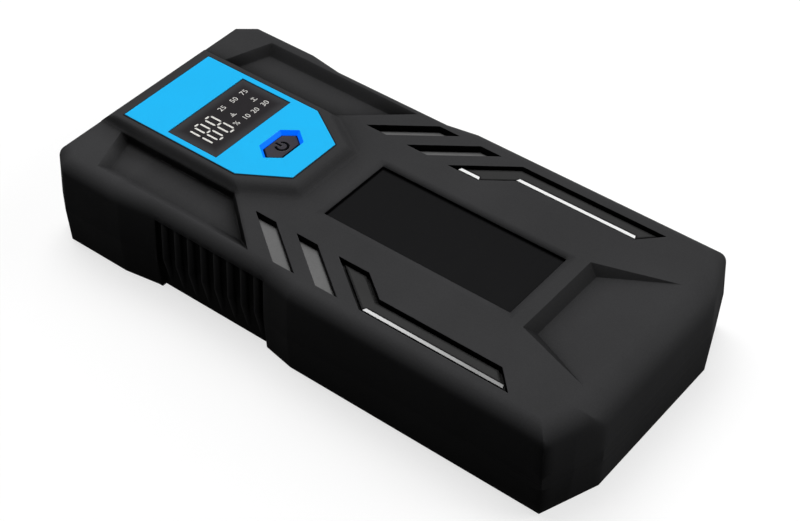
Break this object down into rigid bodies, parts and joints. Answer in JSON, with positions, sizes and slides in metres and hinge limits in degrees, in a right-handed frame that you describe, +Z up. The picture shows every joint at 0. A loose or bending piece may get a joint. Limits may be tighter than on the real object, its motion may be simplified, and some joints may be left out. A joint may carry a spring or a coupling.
{
  "type": "jump starter pack",
  "caption": "Hand-held lithium engine starter: ribbed two-shell case with display console, sprung power key, covered jump socket, charging ports and torch.",
  "frame": {"origin": "middle of the flat base, on the surface it lies on", "axes": "+X along the length to the plain end (the sockets are at -X), +Y across to the side with two bright strips, +Z up through the display"},
  "size_m": [0.18, 0.087, 0.0315],
  "materials": {
    "shell_upper": "soft matt, fine texture",
    "shell_lower": "soft matt, fine texture",
    "panel_blue": "satin",
    "screen_smoke": "smoked window",
    "display_face": "matt",
    "circuit_board": "solder mask",
    "steel_screw": "plated",
    "black_part": "matt",
    "switch_cap": "matt",
    "key_grey": "matt",
    "plate_gloss": "gloss",
    "insert_grey": "matt",
    "bar_dark": "matt",
    "strip_bright": "satin white",
    "relay_blue": "matt",
    "capacitor_sleeve": "sleeve",
    "copper_coil": "enamelled wire",
    "heat_sink_metal": "extruded",
    "cell_pouch": "foil pouch",
    "foam": "closed-cell foam",
    "nickel_link": "nickel",
    "copper_bar": "copper",
    "lead_red": "silicone sleeve",
    "lead_black": "silicone sleeve",
    "socket_blue": "matt",
    "contact_gold": "gold plated",
    "cover_rubber": "matt",
    "usb_metal": "plated",
    "jack_black": "matt",
    "lens_clear": "clear",
    "reflector_bright": "metallised",
    "led_yellow": "phosphor"
  },
  "bodies": {
    "case": {"top_shell": "shell_upper", "bottom_shell": "shell_lower", "control_panel": "panel_blue", "screen_lens": "screen_smoke", "display_module": "display_face", "display_board": "circuit_board", "display_screws": "steel_screw", "display_header": "black_part", "key_switch": "black_part", "name_plate": "plate_gloss", "right_insert_1": "insert_grey", "right_insert_2": "insert_grey", "left_insert_1": "insert_grey", "left_insert_2": "insert_grey", "right_channel_bar": "bar_dark", "left_channel_bar": "bar_dark", "right_edge_strip": "strip_bright", "left_short_strip": "strip_bright", "left_long_strip": "strip_bright", "main_board": "circuit_board", "board_screws": "steel_screw", "power_relay": "relay_blue", "capacitors": "capacitor_sleeve", "inductor": "copper_coil", "heat_sink": "heat_sink_metal", "cell_1": "cell_pouch", "cell_2": "cell_pouch", "cell_3": "cell_pouch", "lower_pad": "foam", "upper_pad": "foam", "series_link_1": "nickel_link", "series_link_2": "nickel_link", "bus_bar_plus": "copper_bar", "bus_bar_minus": "copper_bar", "lead_plus": "lead_red", "lead_minus": "lead_black", "jump_socket": "socket_blue", "contact_plus": "contact_gold", "contact_minus": "contact_gold", "usb_port": "usb_metal", "usb_tongues": "socket_blue", "output_jack": "jack_black", "input_jack": "jack_black", "torch_lens": "lens_clear", "torch_reflector": "reflector_bright", "torch_led": "led_yellow", "case_screws": "steel_screw"},
    "key": {"power_key": "key_grey", "switch_plunger": "switch_cap"},
    "cover": {"dust_cover": "cover_rubber"}
  },
  "joints": [
    {"name": "key_press", "type": "slide", "parent": "case", "child": "key", "axis": [0, 0, -1], "range_m": [0, 0.0005], "stiffness_N_per_m": 1500, "springref_m": -0.0003},
    {"name": "cover_hinge", "type": "hinge", "parent": "case", "child": "cover", "pos_m": [-0.08839, 0.0114, 0.0213], "axis": [0, 1, 0], "range_deg": [0, 100]}
  ]
}
